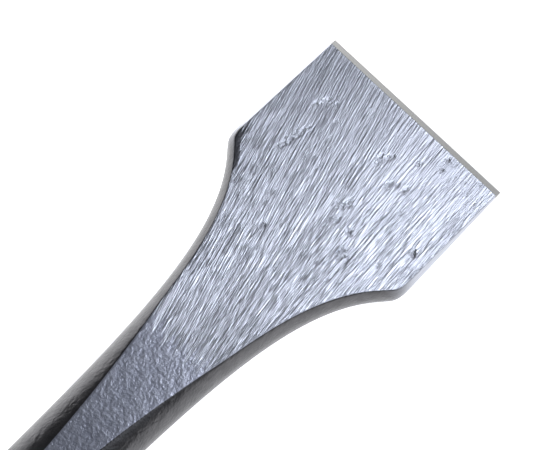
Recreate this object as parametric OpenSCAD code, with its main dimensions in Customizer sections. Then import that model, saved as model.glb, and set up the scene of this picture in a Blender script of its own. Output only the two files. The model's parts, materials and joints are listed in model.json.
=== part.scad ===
// Brick bolster chisel with a moulded grip and a pull-off hand guard.
// It lies on its lower bevel line and on the guard's rim, on the plane z = 0.
// Each piece is drawn standing up, with its axis on Z and the cutting edge at height 0,
// and lay() then puts it down: the struck end points to +X and a little upwards.

/* [Blade] */
// Width of the cutting edge
blade_w = 57; // [50:0.5:62]
// Distance from the cutting edge to the shoulders
shoulder_u = 40.2; // [34:0.2:44]
// Thickness of the blade behind the bevel
edge_t = 3.2; // [2.4:0.1:3.6]
// Length of the bevel at the cutting edge
bevel_l = 2.3; // [1.5:0.1:3]
// Thickness left at the cutting edge itself
tip_t = 0.3; // [0.2:0.05:0.6]
// Rise of each ground face for every millimetre of length
face_rise = 0.08; // [0.075:0.001:0.09]

/* [Neck] */
// Distance from the cutting edge to the end of the neck
neck_end = 134; // [128:0.5:136]
// Radius that the flare tends to, far behind the shoulders
flare_r = 9.65; // [9.6:0.05:10]
// Length over which the flare narrows
flare_l = 20; // [18:0.1:24]
// Height where the ground faces level out on the neck
level_h = 9.65; // [9.62:0.01:9.75]

/* [Shank] */
// Length of the whole tool
overall_l = 254; // [250:1:270]
// Radius of the shank under the grip and the guard
shank_r = 9.5; // [9:0.05:9.5]
// Radius of the bare struck end
struck_r = 9.3; // [8.8:0.05:9.3]
// Chamfer around the struck face
struck_chamfer = 1.5; // [1:0.1:2.5]

/* [Grip] */
// Length of the front collar
collar_l = 9; // [8:0.5:10]
// Length of the soft cover
cover_l = 62; // [58:1:64]
// Radius of the soft cover at its ends
cover_r = 15.2; // [14.8:0.1:16]
// Swell of the soft cover in the palm
palm_swell = 2; // [1:0.1:2.5]
// Number of grip grooves
grooves = 7; // [4:1:8]
// Depth of a grip groove
groove_depth = 0.9; // [0.5:0.1:1.1]
// Outer radius of the hard core under the cover
core_r = 12.2; // [12:0.1:12.6]

/* [Guard] */
// Radius to the middle of the guard's rim bead
rim_centre_r = 36; // [33:0.5:40]
// Radius of the rim bead's own section
rim_bead_r = 3.2; // [2.6:0.1:3.6]
// Length of the guard's hub
hub_l = 14; // [13:0.5:15]
// Radial clearance between the hub and the shank
slide_gap = 0.05; // [0.03:0.01:0.08]

/* [Hidden] */
$fn = 96;

// Section rule of the forging
arc_steps = 9;
ring_step = 3;
side_bulge = 1.65;
shoulder_blend = 1.1;
level_blend = 0.8;
side_blend = 0.4;
flare_power = 0.89;
shank_overlap = 4;
cut_past = 1;

// Stack of pieces along the shank
core_start = neck_end + collar_l;
flange_start = core_start + cover_l;
flange_l = 4;
flange_r = 16.2;
core_end = flange_start + flange_l;
lock_l = 5;
lock_r = 14.4;
lock_end = core_end + lock_l;
washer_l = 3;
washer_r = 13.6;
washer_end = lock_end + washer_l;
hub_play = 0.3;
hub_start = washer_end + hub_play;
hub_end = hub_start + hub_l;
struck_start = hub_end + 1;

// Front collar: a small round nose, a cone, and a straight land against the cover
collar_nose_r = 12.4;
collar_nose_l = 1.2;
collar_round = 0.6;
collar_land = 2;
lock_chamfer = 1;

// Outline points along each grip groove
steps_per_groove = 12;

// Ribs that key the soft cover to the core
rib_count = 6;
rib_w = 3.2;
rib_h = 1.1;
rib_margin = 4;
rib_root = 1;

// Guard: a hub with a disc, a soft shield over the disc, and a rubber ring inside the hub
bore_r = shank_r + slide_gap;
hub_r = 14.2;
disc_r = 27;
disc_t = 2.4;
disc_u = hub_start + 5;
skin_t = 1.7;
rim_centre_u = hub_start - 4.2;
skirt_in = 1;
skirt_out = 2;
ring_wire_r = 1.2;
ring_u = hub_start + 10;
ring_centre_r = bore_r + ring_wire_r;
groove_r = ring_centre_r + ring_wire_r;

// Rest pose: the lower bevel line and the rim bead both touch z = 0
reach_u = rim_centre_u - bevel_l;
reach_r = rim_centre_r - edge_t / 2;
tilt = atan2(reach_r, reach_u) + asin(rim_bead_r / norm([reach_u, reach_r]));
lift = edge_t / 2 * cos(tilt) - bevel_l * sin(tilt);
struck_face_r = struck_r - struck_chamfer;
length_on_floor = overall_l * cos(tilt) + struck_face_r * sin(tilt);

module lay() {
    translate([-length_on_floor / 2, 0, lift])
        rotate([0, 90 - tilt, 0])
            children();
}

module cylinder_at(r, low, high) {
    translate([0, 0, low])
        cylinder(r = r, h = high - low);
}

// A bore that runs a little past both heights, so that it cuts cleanly
module bore_at(r, low, high) {
    cylinder_at(r, low - cut_past, high + cut_past);
}

// A ring from height low to height high, with an inner and an outer radius
module ring(inner_r, outer_r, low, high) {
    difference() {
        cylinder_at(outer_r, low, high);
        bore_at(inner_r, low, high);
    }
}

// ---- Forging: one piece of steel from the cutting edge to the struck face ----

function soft_min(p, q, k) = -k * ln(exp(-p / k) + exp(-q / k));

// Half the width of the forging at distance u from the cutting edge
function flare(u) =
    u > shoulder_u
        ? flare_r + (blade_w / 2 - flare_r) * exp(-pow((u - shoulder_u) / flare_l, flare_power))
        : blade_w / 2 + shoulder_u - u;
function half_width(u) = soft_min(blade_w / 2, flare(u), shoulder_blend);

// Height of the flat faces above the middle plane: bevel, then wedge, then level
function face_height(u) =
    u < bevel_l
        ? tip_t / 2 + (edge_t - tip_t) / 2 * u / bevel_l
        : soft_min(edge_t / 2 + face_rise * (u - bevel_l), level_h, level_blend);

// Radius of the rounded sides, which becomes the neck's own radius
function side_radius(u) = soft_min(half_width(u), side_bulge * face_height(u), side_blend);

// Closed outline of the forging at distance u: two arcs joined by two flats
function section(u) =
    let (
        r = side_radius(u),
        centre = half_width(u) - r,
        top = asin(face_height(u) / r)
    )
    concat(
        [for (i = [0:arc_steps])
            let (a = top - 2 * top * i / arc_steps)
            [-r * sin(a), centre + r * cos(a), u]],
        [for (i = [0:arc_steps])
            let (a = 2 * top * i / arc_steps - top)
            [-r * sin(a), -centre - r * cos(a), u]]
    );

module blade_and_neck() {
    gaps = ceil((neck_end - bevel_l) / ring_step);
    stations = concat(
        [0],
        [for (i = [0:gaps]) bevel_l + (neck_end - bevel_l) * i / gaps]
    );
    count = 2 * (arc_steps + 1);
    last = len(stations) - 1;
    polyhedron(
        points = [for (u = stations, p = section(u)) p],
        faces = concat(
            [[for (i = [0:count - 1]) count - 1 - i]],
            [[for (i = [0:count - 1]) last * count + i]],
            [for (s = [0:last - 1], i = [0:count - 1])
                let (j = (i + 1) % count)
                [s * count + i, s * count + j, (s + 1) * count + i]],
            [for (s = [0:last - 1], i = [0:count - 1])
                let (j = (i + 1) % count)
                [s * count + j, (s + 1) * count + j, (s + 1) * count + i]]
        )
    );
}

module shank() {
    rotate_extrude()
        polygon([
            [0, neck_end - shank_overlap],
            [shank_r, neck_end - shank_overlap],
            [shank_r, struck_start],
            [struck_r, struck_start],
            [struck_r, overall_l - struck_chamfer],
            [struck_face_r, overall_l],
            [0, overall_l]
        ]);
}

module forging() {
    color([0.66, 0.68, 0.71])
        lay() {
            blade_and_neck();
            shank();
        }
}

// ---- Grip: four moulded pieces pushed onto the shank ----

module front_collar() {
    color([0.13, 0.13, 0.14])
        lay()
            difference() {
                rotate_extrude()
                    polygon([
                        [0, neck_end],
                        [collar_nose_r - collar_round, neck_end],
                        [collar_nose_r, neck_end + collar_round],
                        [collar_nose_r, neck_end + collar_nose_l],
                        [cover_r, core_start - collar_land],
                        [cover_r, core_start],
                        [0, core_start]
                    ]);
                bore_at(shank_r, neck_end, core_start);
            }
}

module core_body() {
    ring(shank_r, core_r, core_start, core_end);
    ring(shank_r, flange_r, flange_start, core_end);
    intersection() {
        ring(shank_r + rib_root, core_r + rib_h, core_start + rib_margin, flange_start - rib_margin);
        for (i = [0:rib_count - 1])
            rotate([0, 0, i * 360 / rib_count])
                translate([0, -rib_w / 2, core_start])
                    cube([core_r + rib_h + cut_past, rib_w, cover_l]);
    }
}

module grip_core() {
    color([0.13, 0.28, 0.45])
        lay()
            core_body();
}

// Outer radius of the soft cover at fraction t of its length
function cover_radius(t) =
    cover_r
    + palm_swell * pow(sin(180 * t), 2)
    - groove_depth * pow(max(0, -cos(360 * grooves * t)), 3);

module grip_cover() {
    steps = grooves * steps_per_groove;
    color([0.16, 0.16, 0.17])
        lay()
            difference() {
                rotate_extrude()
                    polygon(concat(
                        [[0, core_start]],
                        [for (i = [0:steps]) [cover_radius(i / steps), core_start + cover_l * i / steps]],
                        [[0, flange_start]]
                    ));
                core_body();
                bore_at(shank_r + rib_root, core_start, flange_start);
            }
}

module lock_ring() {
    color([0.13, 0.13, 0.14])
        lay()
            difference() {
                rotate_extrude()
                    polygon([
                        [0, core_end],
                        [lock_r, core_end],
                        [lock_r, lock_end - lock_chamfer],
                        [lock_r - lock_chamfer, lock_end],
                        [0, lock_end]
                    ]);
                bore_at(shank_r, core_end, lock_end);
            }
}

module cushion_washer() {
    color([0.09, 0.09, 0.09])
        lay()
            ring(shank_r, washer_r, lock_end, washer_end);
}

// ---- Guard: slides off over the struck end ----

module hub_body() {
    difference() {
        union() {
            cylinder_at(hub_r, hub_start, hub_end);
            cylinder_at(disc_r, disc_u, disc_u + disc_t);
        }
        bore_at(bore_r, hub_start, hub_end);
        cylinder_at(groove_r, ring_u - ring_wire_r, ring_u + ring_wire_r);
    }
}

module guard_hub() {
    color([0.13, 0.28, 0.45])
        lay()
            hub_body();
}

// Points of a curve that leaves a towards b and arrives at c
function bend(a, b, c, steps = 8) =
    [for (i = [0:steps])
        let (t = i / steps)
        a * pow(1 - t, 2) + b * 2 * t * (1 - t) + c * pow(t, 2)];

// Half outline of the shield: a dished skin that ends in the round rim bead
module shield_outline() {
    inner_u = disc_u - skin_t;
    outer_u = disc_u + disc_t + skin_t;
    front_r = rim_centre_r - skirt_in;
    rear_r = rim_centre_r + skirt_out;
    polygon(concat(
        [[hub_r, inner_u]],
        bend([disc_r, inner_u], [front_r - skirt_in, inner_u], [front_r, rim_centre_u]),
        bend([rear_r, rim_centre_u], [rear_r, outer_u], [disc_r, outer_u]),
        [[hub_r, outer_u]]
    ));
    translate([rim_centre_r, rim_centre_u])
        circle(r = rim_bead_r);
}

module guard_shield() {
    color([0.16, 0.16, 0.17])
        lay()
            difference() {
                rotate_extrude()
                    shield_outline();
                hub_body();
            }
}

module guard_friction_ring() {
    color([0.09, 0.09, 0.09])
        lay()
            translate([0, 0, ring_u])
                rotate_extrude()
                    translate([ring_centre_r, 0])
                        circle(r = ring_wire_r, $fn = 48);
}

forging();
front_collar();
grip_core();
grip_cover();
lock_ring();
cushion_washer();
guard_hub();
guard_shield();
guard_friction_ring();
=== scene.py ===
import json
import math

import bmesh
import bpy
import numpy as np
from mathutils import Matrix, Vector


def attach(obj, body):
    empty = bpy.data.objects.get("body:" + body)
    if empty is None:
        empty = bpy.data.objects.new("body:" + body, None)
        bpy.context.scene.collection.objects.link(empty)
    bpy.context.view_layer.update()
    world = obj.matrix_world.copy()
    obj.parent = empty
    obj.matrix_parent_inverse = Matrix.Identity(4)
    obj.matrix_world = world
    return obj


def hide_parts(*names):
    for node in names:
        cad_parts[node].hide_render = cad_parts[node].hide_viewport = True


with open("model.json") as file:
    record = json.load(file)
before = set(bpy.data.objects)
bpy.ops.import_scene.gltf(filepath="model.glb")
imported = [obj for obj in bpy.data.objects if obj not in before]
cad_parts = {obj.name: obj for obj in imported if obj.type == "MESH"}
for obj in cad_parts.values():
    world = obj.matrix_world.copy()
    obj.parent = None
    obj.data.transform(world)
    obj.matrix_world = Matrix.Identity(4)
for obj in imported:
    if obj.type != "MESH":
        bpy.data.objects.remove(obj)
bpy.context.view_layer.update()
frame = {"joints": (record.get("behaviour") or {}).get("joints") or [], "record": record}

# Looks of the brick bolster chisel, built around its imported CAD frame.
# Lengths are millimetres in the tool's own frame until to_row() turns them into metres:
# u runs from the cutting edge along the shank, v across the blade, w out of its top face.

MM = 0.001

# ---------------------------------------------------------------- tool frame

OVERALL_L = 254.0
MOUNTS = {mount["name"]: mount for mount in frame["record"]["mounts"]}
SHANK = Vector(frame["joints"][0]["axis"]).normalized()
ACROSS = Vector((0.0, 1.0, 0.0))
OUTWARD = SHANK.cross(ACROSS)
EDGE = Vector(MOUNTS["struck_face"]["pos_m"]) - SHANK * OVERALL_L * MM
TOOL_AXES = np.array([SHANK, ACROSS, OUTWARD])


def to_row(points):
    """Tool-frame points in millimetres to row-frame points in metres."""
    return np.array(EDGE) + np.asarray(points, float) @ TOOL_AXES * MM


# ---------------------------------------------------------------- sizes, as in the CAD

BLADE_W = 57.0
SHOULDER_U = 40.2
EDGE_T = 3.2
BEVEL_L = 2.3
TIP_T = 0.3
FACE_RISE = 0.08
NECK_END = 134.0
FLARE_R = 9.65
FLARE_L = 20.0
FLARE_POWER = 0.89
LEVEL_H = 9.65
SIDE_BULGE = 1.65
SHANK_R = 9.5
STRUCK_START = 232.3
STRUCK_R = MOUNTS["struck_end"]["dims"]["r_mm"]
STRUCK_CHAMFER = 1.5

# How softly the blade's long sides turn into the flare, the taper into the level neck,
# and the bulging sides into the half round
FLARE_SOFT = 1.1
TAPER_SOFT = 0.8
SIDE_SOFT = 0.4


def soft_min(p, q, k):
    """The smaller of p and q, rounded off over about k where they cross."""
    return -k * np.logaddexp(-p / k, -q / k)


def half_width(u):
    """Half the forging's width: the blade, then a flare that falls to the bar."""
    back = np.maximum(u - SHOULDER_U, 0.0) / FLARE_L
    flare = FLARE_R + (BLADE_W / 2 - FLARE_R) * np.exp(-back**FLARE_POWER)
    flare = flare + np.maximum(SHOULDER_U - u, 0.0)
    return soft_min(BLADE_W / 2, flare, FLARE_SOFT)


def face_height(u):
    """Height of the flat face above the middle plane: bevel, taper, then level."""
    wedge = soft_min(EDGE_T / 2 + FACE_RISE * (u - BEVEL_L), LEVEL_H, TAPER_SOFT)
    bevel = TIP_T / 2 + (EDGE_T - TIP_T) / 2 * u / BEVEL_L
    return np.where(u < BEVEL_L, bevel, wedge)


def side_radius(u):
    """Radius of the bulging sides."""
    return soft_min(half_width(u), SIDE_BULGE * face_height(u), SIDE_SOFT)


# ---------------------------------------------------------------- node materials

def new_material(name):
    """A material with nothing but a Principled shader, and its node tree."""
    material = bpy.data.materials.new(name)
    material.use_nodes = True
    return material, Nodes(material.node_tree)


class Nodes:
    """Short names for the few shader nodes that the materials use."""

    def __init__(self, tree):
        self.tree = tree
        self.shader = tree.nodes["Principled BSDF"]

    def add(self, kind, **settings):
        node = self.tree.nodes.new(kind)
        for key, value in settings.items():
            setattr(node, key, value)
        return node

    def join(self, value, socket):
        """Links an output to a socket, or sets a plain value on it."""
        if isinstance(value, bpy.types.NodeSocket):
            self.tree.links.new(value, socket)
        else:
            socket.default_value = value

    def math(self, operation, a, b=0.0, clamp=False):
        node = self.add("ShaderNodeMath", operation=operation, use_clamp=clamp)
        self.join(a, node.inputs[0])
        self.join(b, node.inputs[1])
        return node.outputs[0]

    def attribute(self, name):
        return self.add("ShaderNodeAttribute", attribute_name=name)

    def split(self, vector):
        node = self.add("ShaderNodeSeparateXYZ")
        self.join(vector, node.inputs[0])
        return node.outputs

    def scaled(self, vector, scale, shift=(0.0, 0.0, 0.0)):
        node = self.add("ShaderNodeMapping")
        self.join(vector, node.inputs["Vector"])
        node.inputs["Scale"].default_value = scale
        node.inputs["Location"].default_value = shift
        return node.outputs[0]

    def noise(self, vector, scale=1.0, detail=2.0, rough=0.5, distortion=0.0):
        node = self.add("ShaderNodeTexNoise")
        self.join(vector, node.inputs["Vector"])
        node.inputs["Scale"].default_value = scale
        node.inputs["Detail"].default_value = detail
        node.inputs["Roughness"].default_value = rough
        node.inputs["Distortion"].default_value = distortion
        return node.outputs[0]

    def ramp(self, value, *stops):
        """stops are (position, grey or colour)."""
        node = self.add("ShaderNodeValToRGB")
        elements = node.color_ramp.elements
        while len(elements) < len(stops):
            elements.new(0.5)
        for element, (position, colour) in zip(elements, stops):
            element.position = position
            grey = isinstance(colour, (int, float))
            element.color = (colour, colour, colour, 1.0) if grey else (*colour, 1.0)
        self.join(value, node.inputs[0])
        return node.outputs[0]

    def between(self, value, low, high):
        """0 at low, 1 at high, smooth in between."""
        node = self.add("ShaderNodeMapRange", interpolation_type="SMOOTHSTEP")
        self.join(value, node.inputs["Value"])
        node.inputs["From Min"].default_value = low
        node.inputs["From Max"].default_value = high
        return node.outputs[0]

    def mix(self, share, a, b):
        node = self.add("ShaderNodeMix", data_type="RGBA")
        self.join(share, node.inputs[0])
        for value, socket in ((a, node.inputs[6]), (b, node.inputs[7])):
            self.join((*value, 1.0) if isinstance(value, tuple) else value, socket)
        return node.outputs[2]

    def blend(self, share, a, b):
        """Mix of two plain numbers or fields."""
        node = self.add("ShaderNodeMix", data_type="FLOAT")
        self.join(share, node.inputs[0])
        self.join(a, node.inputs[2])
        self.join(b, node.inputs[3])
        return node.outputs[0]

    def weighed(self, a, b, weights):
        """Sum of two fields, each times its weight."""
        first = self.math("MULTIPLY", a, weights[0])
        second = self.math("MULTIPLY", b, weights[1])
        return self.math("ADD", first, second)

    def bump(self, height, depth_mm, normal=None, strength=1.0):
        node = self.add("ShaderNodeBump")
        self.join(height, node.inputs["Height"])
        node.inputs["Distance"].default_value = depth_mm * MM
        self.join(strength, node.inputs["Strength"])
        if normal is not None:
            self.join(normal, node.inputs["Normal"])
        return node.outputs[0]


def streak_field(n, grain, length_mm, width_mm, seed, slant):
    """Long thin waves along the grinding direction, turned a little by slant."""
    parts = n.split(grain)
    lane = n.math("ADD", parts[1], n.math("MULTIPLY", parts[0], slant))
    place = n.add("ShaderNodeCombineXYZ")
    n.join(n.math("MULTIPLY", parts[0], 1.0 / length_mm), place.inputs[0])
    n.join(n.math("MULTIPLY", lane, 1.0 / width_mm), place.inputs[1])
    n.join(n.math("ADD", parts[2], seed), place.inputs[2])
    return n.noise(place.outputs[0], detail=0.0)


# Steel colours, each pair from its darkest to its lightest patches
GROUND_COLOURS = ((0.50, 0.51, 0.58), (0.62, 0.64, 0.71))
SKIN_COLOURS = ((0.46, 0.475, 0.57), (0.56, 0.575, 0.67))
SIDE_COLOURS = ((0.105, 0.103, 0.107), (0.135, 0.132, 0.137))
STRUCK_COLOURS = ((0.40, 0.40, 0.41), (0.52, 0.52, 0.53))
BEVEL_COLOUR = (0.32, 0.315, 0.305)
ROLLED_COLOUR = (0.10, 0.10, 0.11)

# Grinding streaks: (length, width, seed, slant), and the height that each adds
BROAD_STREAKS = (26.0, 1.5, 10.0, 0.0)
MIDDLE_STREAKS = (13.0, 0.38, 20.0, 0.03)
FINE_STREAKS = (8.0, 0.22, 30.0, -0.03)
STREAK_HEIGHTS = (0.10, 0.5, 0.42)
CUTS = ((13.0, 0.41, 40.0, 0.05), (11.0, 0.34, 50.0, -0.05), (9.0, 0.28, 60.0, 0.01))
CUT_CRESTS = (0.58, 0.72)
CUT_HEIGHT_PER_WIDTH = 0.62
GRIND_TEETH = (40.0, 1.3, 90.0, 0.0)
GRIND_RAGGED = 0.16
GRIND_FADE = (1.012, 0.988)
ROLLED_RAGGED = 0.9
ROLLED_FADE = (0.30, 0.60)
SIDE_FADE = (0.50, 0.38)        # the blade's own sides are ground, the neck's are scale
TONE_SHARES = (0.7, 0.3)        # of the middle and broad streaks, in the ground colour

# Relief of the steel's textures, in millimetres, and their scales per metre
SKIN_DEPTH = 0.30
TORN_DEPTH = 0.34
STREAK_DEPTH = 0.165
GRIT_SCALE = 1500.0
LUMP_SCALE = 420.0
SKIN_HEIGHTS = (0.7, 0.9)       # of the grit and the lumps
SKIN_STRENGTHS = (0.5, 0.08)    # off and on the ground face
TIP_END = 0.55                  # the streaks are shallower up to here
TIP_STREAKS = 0.62
SCAB_STREAKS = 0.55

SKIN_ROUGH = 0.40
SIDE_ROUGH = 0.30
GROUND_ROUGH = (0.28, 0.36)
BEVEL_ROUGH = 0.36


def patches_of(n, field, pair):
    """A colour or grey between a pair, by a noise field that mostly lies in 0.3 to 0.7."""
    return n.ramp(field, (0.3, pair[0]), (0.7, pair[1]))


def steel_material():
    """Forged steel: coarse grinding streaks on the faces, shot-blasted skin elsewhere."""
    material, n = new_material("forged_steel")
    grain = n.attribute("grain").outputs["Vector"]
    on_face, on_bevel, along = n.split(n.attribute("zone").outputs["Vector"])
    wear = n.split(n.attribute("wear").outputs["Vector"])
    scab, struck, rolled = wear[0], wear[1], wear[2]
    body = n.add("ShaderNodeTexCoord").outputs["Object"]

    # where the grinding stops: ragged ends, one tooth per streak
    teeth = streak_field(n, grain, *GRIND_TEETH)
    teeth = n.math("MULTIPLY", n.math("SUBTRACT", teeth, 0.5), GRIND_RAGGED)
    reach = n.math("ADD", along, teeth)
    ground = n.math("MULTIPLY", n.between(reach, *GRIND_FADE), on_face)

    # ground relief: low streaks of three widths, and separate thin cuts across them
    broad = streak_field(n, grain, *BROAD_STREAKS)
    middle = streak_field(n, grain, *MIDDLE_STREAKS)
    fine = streak_field(n, grain, *FINE_STREAKS)
    streaks = 0.0
    for field, height in zip((broad, middle, fine), STREAK_HEIGHTS):
        streaks = n.math("ADD", streaks, n.math("MULTIPLY", field, height))
    for length, width, seed, slant in CUTS:
        crests = streak_field(n, grain, length, width, seed, slant)
        groove = n.between(crests, *CUT_CRESTS)
        height = CUT_HEIGHT_PER_WIDTH * width
        streaks = n.math("SUBTRACT", streaks, n.math("MULTIPLY", groove, height))

    # the rolled corner behind one shoulder, which the wheel only grazed
    grazed = n.math("MULTIPLY", n.math("SUBTRACT", middle, 0.5), ROLLED_RAGGED)
    rolled = n.between(n.math("ADD", rolled, grazed), *ROLLED_FADE)
    ground = n.math("MULTIPLY", ground, n.math("SUBTRACT", 1.0, rolled))

    # shot-blasted skin, and torn metal in the scabs
    grit = n.noise(body, scale=GRIT_SCALE)
    lumps = n.noise(body, scale=LUMP_SCALE)
    skin = n.weighed(grit, lumps, SKIN_HEIGHTS)

    normal = n.bump(skin, SKIN_DEPTH, strength=n.blend(ground, *SKIN_STRENGTHS))
    normal = n.bump(grit, TORN_DEPTH, normal, strength=scab)
    depth = n.blend(n.between(along, 0.0, TIP_END), TIP_STREAKS, 1.0)
    depth = n.math("MULTIPLY", depth, n.blend(scab, 1.0, SCAB_STREAKS))
    depth = n.math("MULTIPLY", ground, depth)
    normal = n.bump(streaks, STREAK_DEPTH, normal, strength=depth)
    n.join(normal, n.shader.inputs["Normal"])

    # colour: bluish ground steel, darker skin, dark scale on the sides, warm bevel
    tone = n.weighed(middle, broad, TONE_SHARES)
    ground_colour = patches_of(n, tone, GROUND_COLOURS)
    side_colour = patches_of(n, lumps, SIDE_COLOURS)
    side_colour = n.mix(n.between(along, *SIDE_FADE), side_colour, ground_colour)
    colour = n.mix(on_face, side_colour, patches_of(n, lumps, SKIN_COLOURS))
    colour = n.mix(ground, colour, ground_colour)
    colour = n.mix(rolled, colour, ROLLED_COLOUR)
    colour = n.mix(on_bevel, colour, BEVEL_COLOUR)
    colour = n.mix(struck, colour, patches_of(n, lumps, STRUCK_COLOURS))
    n.join(colour, n.shader.inputs["Base Color"])
    unground_rough = n.blend(on_face, SIDE_ROUGH, SKIN_ROUGH)
    rough = n.blend(ground, unground_rough, patches_of(n, fine, GROUND_ROUGH))
    n.join(n.blend(on_bevel, rough, BEVEL_ROUGH), n.shader.inputs["Roughness"])
    n.shader.inputs["Metallic"].default_value = 1.0
    return material


# Moulded plastic and rubber: texture scales per metre, and how much each wear shows
PATCH_SCALE = 45.0
CHIP_SCALE = 380.0
SCUFF_SCALES = (60.0, 420.0, 260.0)
SCUFF_FADE = (0.58, 0.76)
SCUFF_SHOWS = 0.5
CHIP_FADE = (0.42, 0.62)
CHIP_SHOWS = 0.75
PATCH_FADE = (0.3, 0.75)
DARKER = 0.8
PALER = 1.5
DUST = 0.06
ROUGH_SPREAD = 0.08
WORN_ROUGHER = 0.15


def moulded_material(name, colour, rough, grain_mm, depth_mm):
    """Moulded plastic or rubber: fine texture, scuffs, dust in it and rubbed edges."""
    material, n = new_material(name)
    body = n.add("ShaderNodeTexCoord").outputs["Object"]
    rubbed = n.split(n.attribute("wear").outputs["Vector"])[0]
    texture = n.noise(body, scale=1.0 / (grain_mm * MM), detail=3.0, rough=0.55)
    patches = n.noise(body, scale=PATCH_SCALE, detail=3.0, rough=0.6)
    scuffs = n.noise(n.scaled(body, SCUFF_SCALES), detail=4.0, rough=0.65)
    chips = n.noise(body, scale=CHIP_SCALE, detail=3.0, rough=0.6)
    worn = n.math("MULTIPLY", n.between(scuffs, *SCUFF_FADE), SCUFF_SHOWS)
    edge = n.math("MULTIPLY", rubbed, n.between(chips, *CHIP_FADE))
    worn = n.math("MAXIMUM", worn, n.math("MULTIPLY", edge, CHIP_SHOWS))
    dark = tuple(c * DARKER for c in colour)
    pale = tuple(min(1.0, c * PALER + DUST) for c in colour)
    base = n.mix(n.between(patches, *PATCH_FADE), dark, colour)
    n.join(n.mix(worn, base, pale), n.shader.inputs["Base Color"])
    whole = n.blend(texture, rough - ROUGH_SPREAD, rough + ROUGH_SPREAD)
    n.join(n.blend(worn, whole, rough + WORN_ROUGHER), n.shader.inputs["Roughness"])
    n.join(n.bump(texture, depth_mm), n.shader.inputs["Normal"])
    return material


# ---------------------------------------------------------------- meshes

FILLET_STEPS = 4
FILLET_SHARE = 0.4      # of the straight next to it, at most
TURN_STEPS = 144
SHARP_ANGLE = math.radians(50.0)


def tube(name, rings, body, node, material):
    """A closed skin through rings of points (tool frame), flat at both ends."""
    count = rings.shape[1]
    points = to_row(rings.reshape(-1, 3))
    row = np.arange(rings.shape[0] - 1)[:, None] * count
    below = row + count
    here = np.arange(count)[None, :]
    there = (here + 1) % count
    quads = np.stack([row + here, row + there, below + there, below + here], -1)
    faces = quads.reshape(-1, 4).tolist()
    faces.append(list(range(count))[::-1])
    faces.append(list(range(len(points) - count, len(points))))
    mesh = bpy.data.meshes.new(name)
    mesh.from_pydata(points.tolist(), [], faces)
    mesh.shade_smooth()
    return finish_piece(name, mesh, body, node, material)


def soften(corners, step):
    """Closed outline of (u, r, rubbed) from corners (u, r, fillet), with rounded corners."""
    points = []
    count = len(corners)
    for k, (u, r, fillet) in enumerate(corners):
        here = np.array([u, r])
        before = np.array(corners[k - 1][:2])
        after = np.array(corners[(k + 1) % count][:2])
        back, ahead = before - here, after - here
        back_mm, ahead_mm = np.linalg.norm(back), np.linalg.norm(ahead)
        start = here + back / back_mm * min(fillet, FILLET_SHARE * back_mm)
        end = here + ahead / ahead_mm * min(fillet, FILLET_SHARE * ahead_mm)
        turns = FILLET_STEPS if fillet > 0 else 0
        for i in range(turns + 1):
            t = i / max(turns, 1)
            spot = start * (1 - t) ** 2 + here * 2 * t * (1 - t) + end * t * t
            points.append((*spot, 1.0 if fillet > 0 else 0.0))
        next_fillet = corners[(k + 1) % count][2]
        goal = after - ahead / ahead_mm * min(next_fillet, FILLET_SHARE * ahead_mm)
        pieces = int(np.linalg.norm(goal - end) // step)
        for i in range(1, pieces + 1):
            points.append((*(end + (goal - end) * i / (pieces + 1)), 0.0))
    return np.array(points)


def turned(name, outline, body, node, material, shape=None):
    """A closed solid of revolution about the shank; shape(u, r, angle) may cut it."""
    angles = 2 * np.pi * np.arange(TURN_STEPS) / TURN_STEPS
    u = np.repeat(outline[:, 0:1], TURN_STEPS, 1)
    r = np.repeat(outline[:, 1:2], TURN_STEPS, 1)
    a = np.repeat(angles[None, :], len(outline), 0)
    if shape is not None:
        r = shape(u, r, a)
    points = to_row(np.stack([u, r * np.cos(a), r * np.sin(a)], -1).reshape(-1, 3))
    steps = np.arange(len(outline))[:, None]
    row = steps * TURN_STEPS
    below = (steps + 1) % len(outline) * TURN_STEPS
    here = np.arange(TURN_STEPS)[None, :]
    there = (here + 1) % TURN_STEPS
    quads = np.stack([row + here, row + there, below + there, below + here], -1)
    mesh = bpy.data.meshes.new(name)
    mesh.from_pydata(points.tolist(), [], quads.reshape(-1, 4).tolist())
    mesh.shade_smooth()
    rubbed = np.repeat(outline[:, 2], TURN_STEPS)
    unused = np.zeros_like(rubbed)
    add_vectors(mesh, "wear", np.stack([rubbed, unused, unused], -1))
    return finish_piece(name, mesh, body, node, material)


def finish_piece(name, mesh, body, node, material):
    """Outward faces, sharp edges and a material; the piece stands for a CAD node."""
    shell = bmesh.new()
    shell.from_mesh(mesh)
    bmesh.ops.recalc_face_normals(shell, faces=shell.faces)
    shell.to_mesh(mesh)
    shell.free()
    mesh.set_sharp_from_angle(angle=SHARP_ANGLE)
    mesh.materials.append(material)
    piece = bpy.data.objects.new(name, mesh)
    bpy.context.scene.collection.objects.link(piece)
    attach(piece, body)
    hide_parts(node)
    return piece


def add_vectors(mesh, name, vectors):
    """One vector for each point, for the materials to read."""
    layer = mesh.attributes.new(name, "FLOAT_VECTOR", "POINT")
    layer.data.foreach_set("vector", np.asarray(vectors, np.float32).reshape(-1))


# ---------------------------------------------------------------- forging

TOP_STEPS = 210
UNDER_STEPS = 60
CORNER_STEPS = 8
SIDE_STEPS = 12
CORNER_MM = 0.45
CORNER_ROUND = 0.016
GRIND_END_U = 86.0
GRIND_MID_U = 42.0
GRIND_LANE_STEPS = 24
STATION_MM = 0.42
BEVEL_STATIONS = (0.0, 0.15, 1.1, 2.15, 2.3, 2.45)
FINE_START_U = 2.9
FINE_END_U = 90.0
STRUCK_FACE_RADII = (7.4, 6.9, 6.3, 5.6, 4.9, 4.2, 3.5, 2.8, 2.1, 1.4, 0.7, 0.2)
UNDER_LEVEL = 200.0     # puts the underside's streaks elsewhere in the noise

# The streaks' slope across the blade: on the +v side, and how much more on the -v side
SLOPE = (0.03, 0.28)
SLOPE_TURN = (3.0, 25.0, 0.10)  # v and u of the middle of the turn, and its drift in v
SLOPE_TURN_MM = 5.0

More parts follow.
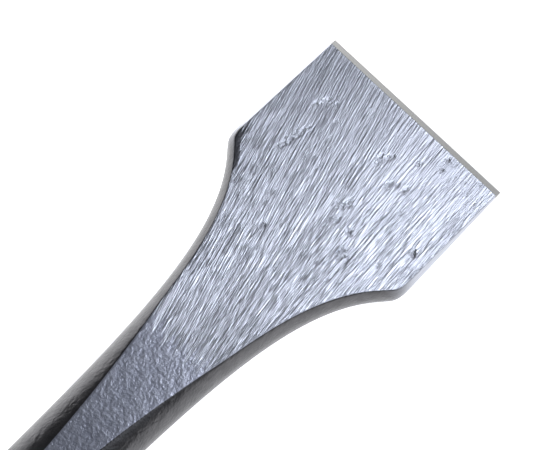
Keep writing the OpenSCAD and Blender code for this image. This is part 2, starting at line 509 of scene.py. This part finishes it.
# Torn and pitted metal in the ground face, each along a line: (u, v, u, v, spread, pits)
SCABS = (
    (18.0, -19.8, 14.5, -15.5, 0.6, 18), (33.3, -17.9, 24.5, -15.8, 0.8, 32),
    (30.5, -7.4, 29.3, -7.9, 0.2, 3), (18.8, -12.8, 17.3, -11.6, 0.3, 4),
    (18.3, 1.6, 13.8, 2.9, 0.6, 16), (11.0, 9.0, 10.6, 9.0, 0.3, 3),
    (3.9, 13.2, 4.2, 13.6, 0.2, 2), (7.5, 14.2, 7.5, 14.2, 0.1, 1),
    (22.4, 7.0, 19.4, 9.0, 0.6, 11), (19.7, 10.8, 17.9, 11.7, 0.4, 6),
    (35.3, 2.8, 30.9, 4.4, 0.5, 15), (38.4, 3.4, 37.5, 5.2, 0.5, 8),
    (33.7, 9.6, 33.7, 9.6, 0.1, 1), (37.4, 8.1, 38.0, 9.8, 0.3, 4),
    (44.8, 10.8, 41.0, 12.2, 0.8, 15), (53.0, 10.2, 53.2, 10.4, 0.3, 2),
    (50.5, 13.0, 50.5, 13.2, 0.2, 2), (38.7, 19.5, 38.7, 19.5, 0.1, 1),
    (51.9, -6.4, 51.1, -6.4, 0.3, 3), (58.0, 3.0, 58.0, 3.0, 0.1, 1),
    (24.5, 14.5, 24.5, 14.5, 0.1, 1), (38.4, -14.2, 38.0, -14.0, 0.2, 2),
    (41.5, 3.7, 41.1, 3.9, 0.2, 2))
PIT_RADIUS = (0.26, 0.50)
PIT_DEPTH = (0.10, 0.26)
PIT_REACH = 4.0         # no pit is felt further than this along u
WAVE_HEIGHT = 0.008     # shallow waves left by the grinding
WAVE_TOP = 2.6          # the sum of the three waves is never higher
WAVE_FADE_MM = 1.5

# A nick near one side: its place, the bent stroke round it, and its radius and depth
NICK = (30.6, 23.3)
NICK_STROKE = (
    (-1.3, -0.4), (-0.9, -0.1), (-0.5, 0.2), (-0.1, 0.5), (-0.3, -0.1), (-0.2, -0.6))
NICK_SIZE = (0.30, 0.42)

# The rolled corner: its middle and spread along u, then how far it reaches into the face,
# over how much of that it fades, and how far it reaches round the corner
ROLLED_U = (41.5, 6.0)
ROLLED_MM = (2.3, 1.3, 0.4)

# Hammer dents in the struck face: (v, w, radius, depth)
DENTS = ((1.5, 1.0, 3.2, 0.30), (-2.6, 2.4, 2.4, 0.24), (-1.0, -3.4, 2.8, 0.26),
         (3.8, -2.2, 2.0, 0.18), (4.2, 3.6, 1.6, 0.12), (-4.9, -1.0, 1.8, 0.15))


def grind_slope(u, v):
    """How far the grinding streaks turn across the blade, as dv/du."""
    turn_v, turn_u, drift = SLOPE_TURN
    past = v - turn_v - drift * (u - turn_u)
    return SLOPE[0] + SLOPE[1] / (1.0 + np.exp(past / SLOPE_TURN_MM))


def grind_lane(u, v):
    """Where the streak through (u, v) crosses the middle of the face, at GRIND_MID_U."""
    lane = np.array(v, float)
    step = (u - GRIND_MID_U) / GRIND_LANE_STEPS
    for k in range(GRIND_LANE_STEPS):
        lane = lane - grind_slope(u - k * step, lane) * step
    return lane


def pit_list(seed):
    """Every pit as (u, v, radius, depth) in millimetres."""
    rng = np.random.default_rng(seed)
    pits = []
    for start_u, start_v, end_u, end_v, spread, count in SCABS:
        for _ in range(count):
            t = rng.uniform()
            du, dv = rng.normal(0.0, spread, 2)
            u = start_u + (end_u - start_u) * t + du
            v = start_v + (end_v - start_v) * t + dv
            pits.append((u, v, rng.uniform(*PIT_RADIUS), rng.uniform(*PIT_DEPTH)))
    for along, across in NICK_STROKE:
        pits.append((NICK[0] + along, NICK[1] + across, *NICK_SIZE))
    return np.array(pits)


PITS = pit_list(seed=7)


def face_relief(u, v, on_face):
    """Depth cut into the top face at points (u, v), and how torn the metal is there."""
    near = PITS[np.abs(PITS[:, 0] - u) < PIT_REACH]
    cut = np.zeros_like(v)
    torn = np.zeros_like(v)
    for pit_u, pit_v, radius, depth in near:
        away = ((u - pit_u) ** 2 + (v - pit_v) ** 2) / radius**2
        cut = np.maximum(cut, depth * np.exp(-away))
        torn = np.maximum(torn, np.exp(-away / 2.5))
    lane = grind_lane(u, v)
    waves = (np.sin(lane * 0.61 + 0.021 * u) + np.sin(lane * 1.13 + 1.3 - 0.034 * u)
             + 0.6 * np.sin(lane * 2.1 + 0.4 + 0.05 * u))
    ends = 1.0 / (1.0 + np.exp((u - GRIND_END_U) / WAVE_FADE_MM))
    cut = cut + WAVE_HEIGHT * (WAVE_TOP + waves) * ends
    return cut * on_face, torn * on_face


def rolled_corner(u, v):
    """Where the corner behind the shoulder on the -v side rolls out of the grinding."""
    middle, spread = ROLLED_U
    inside, ramp, outside = ROLLED_MM
    r, height = side_radius(u), face_height(u)
    corner = half_width(u) - r + math.sqrt(max(r * r - height * height, 0.0))
    past = -v - corner
    share = np.clip((past + inside) / ramp, 0.0, 1.0) * (past < outside)
    return share * math.exp(-(((u - middle) / spread) ** 2))


def half_outline(u, flat_steps):
    """One face of the forging's section at u, from v = +b over the face to v = -b."""
    r = side_radius(u)
    centre = half_width(u) - r
    height = face_height(u)
    foot = math.sqrt(max(r * r - height * height, 0.0))
    outer = foot + min(CORNER_MM, (r - foot) / 2)
    angles = math.acos(outer / r) * np.arange(SIDE_STEPS + 1) / SIDE_STEPS
    v_side = centre + r * np.cos(angles)
    inner = max(centre + foot - CORNER_MM, 0.7 * (centre + foot))
    v_corner = np.linspace(v_side[-1], inner, CORNER_STEPS + 1)[1:]
    v_flat = np.linspace(inner, -inner, flat_steps + 1)[1:-1]
    v_half = np.concatenate([v_side, v_corner])
    v = np.concatenate([v_half, v_flat, -v_half[::-1]])
    arc = np.sqrt(np.maximum(r * r - np.maximum(np.abs(v) - centre, 0.0) ** 2, 0.0))
    w = np.maximum(soft_min(arc, height, min(CORNER_ROUND * foot, 0.06 * height)), 0.0)
    side = np.zeros(SIDE_STEPS + 1 + CORNER_STEPS // 2)
    on_face = np.concatenate([side, np.ones(len(v) - 2 * len(side)), side])
    return v, w, on_face


def ring_of(top, under):
    """Joins a top half and an under half, each running from +v to -v, into one ring."""
    return np.concatenate([top, under[-2:0:-1]])


def blade_ring(u):
    """Points, grain, zone and wear round the forging at one station.

    grain is (u, lane, level), zone is (on a flat face, on the bevel, share of the ground
    length), and wear is (torn, struck, rolled).
    """
    v, w, on_face = half_outline(u, TOP_STEPS)
    v2, w2, on_face2 = half_outline(u, UNDER_STEPS)
    behind_bevel = u > BEVEL_L + 0.1
    cut, torn = face_relief(u, v, on_face * behind_bevel)
    v_ring = ring_of(v, v2)
    w_ring = ring_of(w - cut, -w2)
    u_ring = np.full_like(v_ring, u)
    level = ring_of(np.zeros_like(v), np.full_like(v2, UNDER_LEVEL))
    bevel = np.full_like(v_ring, 1.0 if u < BEVEL_L + 0.05 else 0.0)
    none = np.zeros_like(v2)
    zero = np.zeros_like(v_ring)
    rolled = ring_of(rolled_corner(u, v), none)
    return (
        np.stack([u_ring, v_ring, w_ring], -1),
        np.stack([u_ring, grind_lane(u, v_ring), level], -1),
        np.stack([ring_of(on_face, on_face2), bevel, u_ring / GRIND_END_U], -1),
        np.stack([ring_of(torn, none), zero, rolled], -1))


def dent_depth(v, w):
    """Hammer dents in the struck face, in millimetres."""
    depth = np.zeros_like(v)
    for dent_v, dent_w, radius, deep in DENTS:
        away = ((v - dent_v) ** 2 + (w - dent_w) ** 2) / radius**2
        depth = np.maximum(depth, deep * np.exp(-away))
    return depth


def half_circle(r, flat_steps):
    """The same number of points as half_outline, round a half circle."""
    angles = np.linspace(0.0, np.pi, flat_steps + 2 * (SIDE_STEPS + CORNER_STEPS) + 1)
    return r * np.cos(angles), r * np.sin(angles)


def shank_ring(u, r):
    """The same four as blade_ring, for a round station of the shank."""
    v, w = half_circle(r, TOP_STEPS)
    v2, w2 = half_circle(r, UNDER_STEPS)
    v_ring = ring_of(v, v2)
    points = np.stack([np.full_like(v_ring, u), v_ring, ring_of(w, -w2)], -1)
    if u > OVERALL_L - 0.01:
        points[:, 0] -= dent_depth(points[:, 1], points[:, 2])
    beyond = np.tile([0.0, 0.0, 2.0], (len(points), 1))
    struck = np.tile([0.0, 1.0 if u > STRUCK_START else 0.0, 0.0], (len(points), 1))
    return points, points, beyond, struck


def forging():
    """One skin from the cutting edge to the struck face."""
    stations = [blade_ring(u) for u in BEVEL_STATIONS]
    stations += [blade_ring(u) for u in np.arange(FINE_START_U, FINE_END_U, STATION_MM)]
    stations += [blade_ring(u) for u in np.arange(FINE_END_U, NECK_END + 0.1, 1.0)]
    stations += [shank_ring(NECK_END, SHANK_R), shank_ring(STRUCK_START, SHANK_R)]
    stations += [shank_ring(STRUCK_START, STRUCK_R)]
    stations += [shank_ring(OVERALL_L - STRUCK_CHAMFER, STRUCK_R)]
    stations += [shank_ring(OVERALL_L - 0.4, STRUCK_R - STRUCK_CHAMFER + 0.35)]
    stations += [shank_ring(OVERALL_L, r) for r in STRUCK_FACE_RADII]
    rings, grains, zones, wears = (np.array(part)[:, ::-1] for part in zip(*stations))
    piece = tube("forging_skin", rings, "chisel", "forging", steel_material())
    add_vectors(piece.data, "grain", grains)
    add_vectors(piece.data, "zone", zones)
    add_vectors(piece.data, "wear", wears)


forging()

# ---------------------------------------------------------------- grip and guard

COLLAR_NOSE_R = 12.4
COLLAR_LAND_U = 1.2             # length of the nose's straight part
COLLAR_CONE_END = 141.0
COLLAR_GROOVE = (141.6, 141.8, 142.2, 142.4)
GROOVE_CUT = 0.5                # depth of the thin grooves
COVER_R = 15.2
PALM_SWELL = 2.0
GROOVES = 7
GROOVE_DEPTH = 0.9
STEPS_PER_GROOVE = 22
CORE_START = 143.0
FLANGE_START = 205.0
FLANGE_R = 16.2
CORE_R = 12.2
CORE_END = 209.0
RIBS = 6
RIB_H = 1.1
RIB_HALF_W = 1.6
RIB_SPAN = (147.0, 201.0)
RIB_CORNERS = (146.6, 201.4)
LOCK_END = 214.0
LOCK_R = 14.4
WASHER_END = 217.0
WASHER_GROOVE = (215.1, 215.5, 215.9)
WASHER_R = 13.6
HUB_START = 217.3
HUB_END = 231.3
HUB_R = 14.2
BORE_R = 9.55
DISC = (222.3, 224.7)
DISC_R = 27.0
SKIN_T = 1.7
RIM_U = 213.1
RIM_CENTRE_R = 36.0
RIM_BEAD_R = 3.2
RIM_STEPS = 30
BEND_STEPS = 14
GRIP_RINGS = (24.5, 22.0, 19.5, 17.0)
RING_U = 227.3
RING_WIRE_R = 1.2
WIRE_STEPS = 24
WALL_STEP = 0.8         # longest step along a turned outline
RING_STEP = 0.6         # the same on the small rings

# Cuts round the pieces: depth, how many, and the share of the round that they take
COLLAR_FLUTES = (0.35, 16, 0.45)
FLANGE_SCALLOPS = (0.5, 12, 0.35)
COVER_PADS = (0.35, 24, 0.28)
LOCK_SLOTS = (0.9, 8, 0.22)
HUB_FLUTES = (0.45, 12, 0.4)
RIM_KNURLS = (0.3, 48, 0.4)

# name, colour, roughness, grain and its depth in millimetres
hard_black = moulded_material("hard_black", (0.035, 0.035, 0.038), 0.42, 0.5, 0.02)
hard_blue = moulded_material("hard_blue", (0.025, 0.09, 0.22), 0.38, 0.5, 0.02)
soft_black = moulded_material("soft_black", (0.045, 0.045, 0.048), 0.62, 0.35, 0.05)
plain_rubber = moulded_material("plain_rubber", (0.02, 0.02, 0.02), 0.7, 0.4, 0.03)


def soft_step(value, width):
    """0 well below zero, 1 well above it."""
    return 1.0 / (1.0 + np.exp(-value / width))


def notches(angle, depth, count, share):
    """Cuts of this depth at count places round the axis, with soft flanks."""
    return depth * soft_step(np.cos(count * angle) - math.cos(math.pi * share), 0.06)


def thin_groove(places, r):
    """Corners of a thin groove at these places along a wall of radius r."""
    brims = (0, len(places) - 1)
    return [(u, r if k in brims else r - GROOVE_CUT, 0.1) for k, u in enumerate(places)]


def rib_key(u, r, angle):
    """Keys the core's ribs into the cover: both share this surface."""
    turn = 2 * np.pi / RIBS
    side = np.abs((angle + turn / 2) % turn - turn / 2) * CORE_R
    on_rib = (side < RIB_HALF_W) & (u > RIB_SPAN[0]) & (u < RIB_SPAN[1])
    return r + RIB_H * (on_rib & (np.abs(r - CORE_R) < 0.01))


def front_collar():
    """Nose ring: a cone with flutes, and a thin groove before the cover."""
    outline = soften([
        (NECK_END, SHANK_R, 0.0), (NECK_END, COLLAR_NOSE_R, 0.6),
        (NECK_END + COLLAR_LAND_U, COLLAR_NOSE_R, 0.4), (COLLAR_CONE_END, COVER_R, 0.8),
        *thin_groove(COLLAR_GROOVE, COVER_R), (CORE_START, COVER_R, 0.2),
        (CORE_START, SHANK_R, 0.0)], WALL_STEP)

    def flutes(u, r, a):
        along_cone = (u > NECK_END + 2 * COLLAR_LAND_U) & (u < COLLAR_CONE_END - 0.8)
        on_cone = along_cone & (r > SHANK_R + 1)
        return r - notches(a, *COLLAR_FLUTES) * on_cone

    turned("collar", outline, "chisel", "front_collar", hard_black, flutes)


def grip_core():
    """Hard sleeve inside the cover, with a scalloped flange behind it."""
    outline = soften([
        (CORE_START, SHANK_R, 0.0), (CORE_START, CORE_R, 0.0), (RIB_CORNERS[0], CORE_R, 0.0),
        (RIB_CORNERS[1], CORE_R, 0.0), (FLANGE_START, CORE_R, 0.0),
        (FLANGE_START, FLANGE_R, 0.5), (CORE_END, FLANGE_R, 0.7),
        (CORE_END, SHANK_R, 0.0)], WALL_STEP)

    def scallops(u, r, a):
        return rib_key(u, r, a) - notches(a, *FLANGE_SCALLOPS) * (r > FLANGE_R - 0.8)

    turned("core", outline, "chisel", "grip_core", hard_blue, scallops)


def cover_radius(t):
    """The cover's radius at share t of its length: a palm swell, less the ring grooves."""
    swell = PALM_SWELL * np.sin(np.pi * t) ** 2
    groove = np.maximum(0.0, -np.cos(2 * np.pi * GROOVES * t)) ** 3
    return COVER_R + swell - GROOVE_DEPTH * groove


def grip_cover():
    """Soft cover: ring grooves, and shallow flutes that cut each land into pads."""
    length = FLANGE_START - CORE_START
    steps = np.linspace(0.0, 1.0, STEPS_PER_GROOVE * GROOVES + 1)
    outer = [(CORE_START + length * t, cover_radius(t), 0.0) for t in steps[1:-1]]
    outline = soften([
        (CORE_START, CORE_R, 0.0), (CORE_START, COVER_R, 0.3), *outer,
        (FLANGE_START, COVER_R, 0.3), (FLANGE_START, CORE_R, 0.0),
        (RIB_CORNERS[1], CORE_R, 0.0), (RIB_CORNERS[0], CORE_R, 0.0)], WALL_STEP)

    def pads(u, r, a):
        t = (u - CORE_START) / length
        land = np.clip(0.5 + 1.5 * np.cos(2 * np.pi * GROOVES * t), 0.0, 1.0)
        middle = soft_step(np.sin(np.pi * t) - 0.35, 0.05)
        outside = r > CORE_R + 1.5
        return rib_key(u, r, a) - notches(a, *COVER_PADS) * land * middle * outside

    turned("cover", outline, "chisel", "grip_cover", soft_black, pads)


def lock_ring():
    """Hard ring with key slots in its rim."""
    outline = soften([
        (CORE_END, SHANK_R, 0.0), (CORE_END, LOCK_R, 0.3), (LOCK_END - 1, LOCK_R, 0.3),
        (LOCK_END, LOCK_R - 1, 0.3), (LOCK_END, SHANK_R, 0.0)], RING_STEP)

    def slots(u, r, a):
        return r - notches(a, *LOCK_SLOTS) * (r > LOCK_R - 1.2)

    turned("lock", outline, "chisel", "lock_ring", hard_black, slots)


def cushion_washer():
    """Rubber washer with a groove round it."""
    outline = soften([
        (LOCK_END, SHANK_R, 0.0), (LOCK_END, WASHER_R, 0.3),
        *thin_groove(WASHER_GROOVE, WASHER_R), (WASHER_END, WASHER_R, 0.5),
        (WASHER_END, SHANK_R, 0.0)], RING_STEP)
    turned("washer", outline, "chisel", "cushion_washer", plain_rubber)


def guard_hub():
    """Hard hub with its disc inside the shield, and flutes on its rear collar."""
    groove_r = BORE_R + 2 * RING_WIRE_R
    outline = soften([
        (HUB_START, BORE_R, 0.3), (HUB_START, HUB_R, 0.6), (DISC[0], HUB_R, 0.0),
        (DISC[0], DISC_R, 0.0), (DISC[1], DISC_R, 0.0), (DISC[1], HUB_R, 0.0),
        (HUB_END, HUB_R, 0.8), (HUB_END, BORE_R, 0.3), (RING_U + RING_WIRE_R, BORE_R, 0.0),
        (RING_U + RING_WIRE_R, groove_r, 0.0), (RING_U - RING_WIRE_R, groove_r, 0.0),
        (RING_U - RING_WIRE_R, BORE_R, 0.0)], WALL_STEP)

    def flutes(u, r, a):
        on_collar = (u > DISC[1] + SKIN_T + 0.8) & (r > HUB_R - 0.9)
        return r - notches(a, *HUB_FLUTES) * on_collar

    turned("hub", outline, "guard", "guard_hub", hard_blue, flutes)


def bend(a, b, c):
    """A curve that leaves a towards b and arrives at c."""
    t = np.arange(BEND_STEPS + 1)[:, None] / BEND_STEPS
    return np.array(a) * (1 - t) ** 2 + np.array(b) * 2 * t * (1 - t) + np.array(c) * t * t


def guard_shield():
    """Dished soft shield moulded over the hub's disc, with a round rim bead."""
    inner_u, outer_u = DISC[0] - SKIN_T, DISC[1] + SKIN_T
    centre = np.array([RIM_U, RIM_CENTRE_R])
    front = bend((inner_u, DISC_R), (inner_u, RIM_CENTRE_R - 2), (RIM_U, RIM_CENTRE_R - 1))
    rear = bend((RIM_U, RIM_CENTRE_R + 2), (outer_u, RIM_CENTRE_R + 2), (outer_u, DISC_R))
    front = front[np.linalg.norm(front - centre, axis=1) > RIM_BEAD_R]
    rear = rear[np.linalg.norm(rear - centre, axis=1) > RIM_BEAD_R]
    first, last = front[-1] - centre, rear[0] - centre
    begin = math.atan2(first[1], first[0]) % (2 * math.pi)
    finish = math.atan2(last[1], last[0]) % (2 * math.pi)
    arc = np.linspace(begin, finish, RIM_STEPS)[1:-1]
    bead = centre + RIM_BEAD_R * np.stack([np.cos(arc), np.sin(arc)], -1)
    curve = [(u, r, 0.0) for u, r in np.concatenate([front, bead, rear])]
    ribs = []
    for rib_r in GRIP_RINGS:
        floor_u = outer_u - GROOVE_CUT
        ribs += [(outer_u, rib_r + 0.6, 0.2), (floor_u, rib_r + 0.3, 0.2),
                 (floor_u, rib_r - 0.3, 0.2), (outer_u, rib_r - 0.6, 0.2)]
    outline = soften([
        (inner_u, HUB_R, 0.2), *curve, *ribs, (outer_u, HUB_R, 0.2), (DISC[1], HUB_R, 0.0),
        (DISC[1], DISC_R, 0.0), (DISC[0], DISC_R, 0.0), (DISC[0], HUB_R, 0.0)], WALL_STEP)

    def knurls(u, r, a):
        on_rim = np.clip((r - RIM_CENTRE_R - 1) / 1.5, 0, 1)
        return r - notches(a, *RIM_KNURLS) * on_rim

    turned("shield", outline, "guard", "guard_shield", soft_black, knurls)


def guard_friction_ring():
    """Rubber ring in the hub's groove."""
    angles = 2 * np.pi * np.arange(WIRE_STEPS) / WIRE_STEPS
    outline = np.stack([
        RING_U + RING_WIRE_R * np.cos(angles),
        BORE_R + RING_WIRE_R + RING_WIRE_R * np.sin(angles), 0.0 * angles], -1)
    turned("ring", outline, "guard", "guard_friction_ring", plain_rubber)


for make in (front_collar, grip_core, grip_cover, lock_ring, cushion_washer,
             guard_hub, guard_shield, guard_friction_ring):
    make()

# ---------------------------------------------------------------- camera, floor and light

CAMERA_AIM_U = 50.0
CAMERA_DISTANCE = 250.0 * MM
CAMERA_AZIMUTH = math.radians(28.85)
CAMERA_ELEVATION = math.radians(78.99)
CAMERA_ROLL = math.radians(15.30)
CAMERA_LENS = 69.26
CAMERA_SHIFT = (-0.0153, 0.0387)
SENSOR_WIDTH = 36.0


def camera():
    """Looks down on the blade, turned as the photograph is."""
    target = Vector(to_row([CAMERA_AIM_U, 0.0, 0.0]))
    back = Vector((
        math.cos(CAMERA_ELEVATION) * math.cos(CAMERA_AZIMUTH),
        math.cos(CAMERA_ELEVATION) * math.sin(CAMERA_AZIMUTH),
        math.sin(CAMERA_ELEVATION)))
    level = Vector((0.0, 0.0, 1.0)).cross(back).normalized()
    lift = back.cross(level)
    right = level * math.cos(CAMERA_ROLL) + lift * math.sin(CAMERA_ROLL)
    up = back.cross(right)
    data = bpy.data.cameras.new("camera")
    data.lens = CAMERA_LENS
    data.sensor_width = SENSOR_WIDTH
    data.shift_x, data.shift_y = CAMERA_SHIFT
    data.clip_start = 0.01
    shot = bpy.data.objects.new("camera", data)
    shot.matrix_world = Matrix.Translation(target + back * CAMERA_DISTANCE) @ Matrix(
        (right, up, back)).transposed().to_4x4()
    bpy.context.scene.collection.objects.link(shot)
    bpy.context.scene.camera = shot


# The floor glows with painted light: a pool of light near the blade, less further away, and
# more on the blade's -v side
FLOOR_BRIGHT_U = 50.0
FLOOR_FADE = (0.10, 0.40)
FLOOR_PAINTED_GLOW = (0.82, 0.40)
FLOOR_LEFT_M = (0.02, -0.05)
FLOOR_LEFT_GAIN = 1.7
FLOOR_REACH = 12.0
FLOOR_DROP = 0.0002


def floor():
    """Pale floor, a hair under the tool, whose emission paints a pool of light round the
    blade.
    """
    material, n = new_material("pale_floor_painted_glow")
    body = n.add("ShaderNodeTexCoord").outputs["Object"]
    paper = n.noise(body, scale=900.0, detail=3.0)
    n.join(n.ramp(paper, (0.3, 0.86), (0.7, 0.90)), n.shader.inputs["Base Color"])
    n.shader.inputs["Roughness"].default_value = 0.85
    n.shader.inputs["Emission Color"].default_value = (1.0, 1.0, 1.0, 1.0)
    centre = Vector(to_row([FLOOR_BRIGHT_U, 0.0, 0.0]))
    away = n.add("ShaderNodeVectorMath", operation="LENGTH")
    n.join(n.scaled(body, (1.0, 1.0, 0.0), (-centre.x, -centre.y, 0.0)), away.inputs[0])
    painted_glow = n.blend(n.between(away.outputs["Value"], *FLOOR_FADE), *FLOOR_PAINTED_GLOW)
    left = n.between(n.split(body)[1], *FLOOR_LEFT_M)
    painted_glow = n.math("MULTIPLY", painted_glow, n.blend(left, 1.0, FLOOR_LEFT_GAIN))
    # painted light: the floor's emission is brighter near the blade and on its -v side
    n.join(painted_glow, n.shader.inputs["Emission Strength"])
    mesh = bpy.data.meshes.new("floor")
    reach = FLOOR_REACH
    corners = [(-reach, -reach, 0), (reach, -reach, 0), (reach, reach, 0), (-reach, reach, 0)]
    mesh.from_pydata(corners, [], [(0, 1, 2, 3)])
    mesh.materials.append(material)
    sheet = bpy.data.objects.new("floor", mesh)
    sheet.location.z = -FLOOR_DROP
    bpy.context.scene.collection.objects.link(sheet)


LIGHT_COLOUR = (0.88, 0.93, 1.0)
LIGHT_DISTANCE = 0.7
LIT_U = 30.0
WORLD_COLOUR = (0.30, 0.31, 0.34, 1.0)
WORLD_STRENGTH = 0.30

# name, direction from the blade, size in metres, watts
STUDIO_LIGHTS = (
    ("key", (-0.68, 0.19, 0.70), (0.34, 0.22), 0.80),
    ("crest", (-0.55, 0.20, 0.81), (0.24, 0.18), 0.46),
    ("fill", (-0.25, 0.74, 0.62), (0.50, 0.40), 0.45),
    ("back_left", (0.90, -0.55, 0.45), (0.60, 0.45), 1.3),
    ("back_right", (0.90, 0.55, 0.45), (0.60, 0.45), 1.3),
    ("front_low", (-1.20, -0.20, 0.32), (0.70, 0.30), 0.8))


def softbox(name, place, aim, size, watts):
    """A rectangular area light at place that faces aim."""
    data = bpy.data.lights.new(name, "AREA")
    data.shape = "RECTANGLE"
    data.size, data.size_y = size
    data.energy = watts
    data.color = LIGHT_COLOUR
    lamp = bpy.data.objects.new(name, data)
    lamp.location = place
    lamp.rotation_euler = (Vector(aim) - Vector(place)).to_track_quat("-Z", "Y").to_euler()
    bpy.context.scene.collection.objects.link(lamp)


def studio():
    """Soft lights round the blade, a dim grey world and plain colour management."""
    blade = Vector(to_row([LIT_U, 0.0, 0.0]))
    for name, direction, size, watts in STUDIO_LIGHTS:
        softbox(name, blade + Vector(direction) * LIGHT_DISTANCE, blade, size, watts)
    world = bpy.data.worlds.new("studio")
    world.use_nodes = True
    background = world.node_tree.nodes["Background"]
    background.inputs["Color"].default_value = WORLD_COLOUR
    background.inputs["Strength"].default_value = WORLD_STRENGTH
    bpy.context.scene.world = world
    bpy.context.scene.view_settings.view_transform = "Standard"


camera()
floor()
studio()
